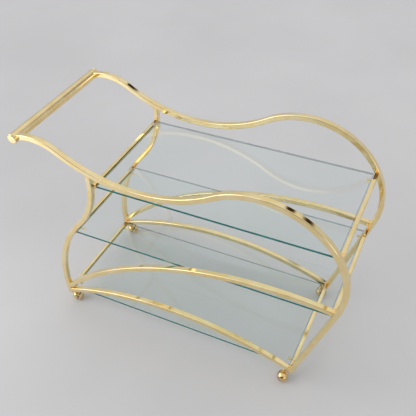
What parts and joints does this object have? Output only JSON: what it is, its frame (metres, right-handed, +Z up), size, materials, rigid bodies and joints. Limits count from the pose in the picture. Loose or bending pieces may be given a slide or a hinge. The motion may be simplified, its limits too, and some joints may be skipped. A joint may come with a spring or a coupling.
{
  "type": "bar cart",
  "caption": "Rolling bar cart with arched square-tube side frames, a round handle, glass shelves on pegs and ball casters.",
  "frame": {"origin": "on the floor, midway along the cart's length and midway between its two side frames", "axes": "X runs along the cart with the handle at -X, Y runs across it with the front frame at -Y, Z points up"},
  "size_m": [1.168, 0.5071, 0.8443],
  "materials": {
    "polished_brass": "polished",
    "satin_brass": "satin",
    "caster_brass": "polished",
    "caster_steel": "turned",
    "clear_glass": "clear, with deep green polished edges"
  },
  "bodies": {
    "cart": {"bottom_crossbar_left": "polished_brass", "bottom_crossbar_right": "polished_brass", "bottom_glass_shelf": "clear_glass", "bottom_shelf_pegs": "polished_brass", "caster_bosses": "caster_brass", "foot_plates": "polished_brass", "front_curved_leg": "polished_brass", "front_lower_arch": "polished_brass", "front_top_rail": "polished_brass", "front_upper_arch": "polished_brass", "handle_caps": "satin_brass", "handle_tube": "satin_brass", "middle_crossbar_left": "polished_brass", "middle_crossbar_right": "polished_brass", "middle_glass_shelf": "clear_glass", "middle_shelf_pegs": "polished_brass", "rear_curved_leg": "polished_brass", "rear_lower_arch": "polished_brass", "rear_top_rail": "polished_brass", "rear_upper_arch": "polished_brass", "top_crossbar_left": "polished_brass", "top_crossbar_right": "polished_brass", "top_glass_shelf": "clear_glass", "top_shelf_pegs": "polished_brass"},
    "swivel_front_left": {"caster_hood_front_left": "caster_brass", "caster_stem_front_left": "caster_steel", "caster_axle_front_left": "caster_steel"},
    "wheel_front_left": {"caster_wheel_front_left": "caster_brass"},
    "swivel_rear_left": {"caster_hood_rear_left": "caster_brass", "caster_stem_rear_left": "caster_steel", "caster_axle_rear_left": "caster_steel"},
    "wheel_rear_left": {"caster_wheel_rear_left": "caster_brass"},
    "swivel_front_right": {"caster_hood_front_right": "caster_brass", "caster_stem_front_right": "caster_steel", "caster_axle_front_right": "caster_steel"},
    "wheel_front_right": {"caster_wheel_front_right": "caster_brass"},
    "swivel_rear_right": {"caster_hood_rear_right": "caster_brass", "caster_stem_rear_right": "caster_steel", "caster_axle_rear_right": "caster_steel"},
    "wheel_rear_right": {"caster_wheel_rear_right": "caster_brass"}
  },
  "joints": [
    {"name": "swivel_front_left", "type": "hinge", "parent": "cart", "child": "swivel_front_left", "pos_m": [-0.51917, -0.22, 0.05], "axis": [0, 0, 1], "continuous": true},
    {"name": "spin_front_left", "type": "hinge", "parent": "swivel_front_left", "child": "wheel_front_left", "pos_m": [-0.52366, -0.20887, 0.022], "axis": [0.7595, 0.3069, -0.5736], "continuous": true},
    {"name": "swivel_rear_left", "type": "hinge", "parent": "cart", "child": "swivel_rear_left", "pos_m": [-0.51917, 0.22, 0.05], "axis": [0, 0, 1], "continuous": true},
    {"name": "spin_rear_left", "type": "hinge", "parent": "swivel_rear_left", "child": "wheel_rear_left", "pos_m": [-0.52287, 0.23141, 0.022], "axis": [0.7791, 0.2531, -0.5736], "continuous": true},
    {"name": "swivel_front_right", "type": "hinge", "parent": "cart", "child": "swivel_front_right", "pos_m": [0.40437, -0.22, 0.05], "axis": [0, 0, 1], "continuous": true},
    {"name": "spin_front_right", "type": "hinge", "parent": "swivel_front_right", "child": "wheel_front_right", "pos_m": [0.40187, -0.23174, 0.022], "axis": [-0.8013, 0.1703, -0.5736], "continuous": true},
    {"name": "swivel_rear_right", "type": "hinge", "parent": "cart", "child": "swivel_rear_right", "pos_m": [0.40437, 0.22, 0.05], "axis": [0, 0, 1], "continuous": true},
    {"name": "spin_rear_right", "type": "hinge", "parent": "swivel_rear_right", "child": "wheel_rear_right", "pos_m": [0.41037, 0.20961, 0.022], "axis": [-0.7094, -0.4096, -0.5736], "continuous": true}
  ]
}
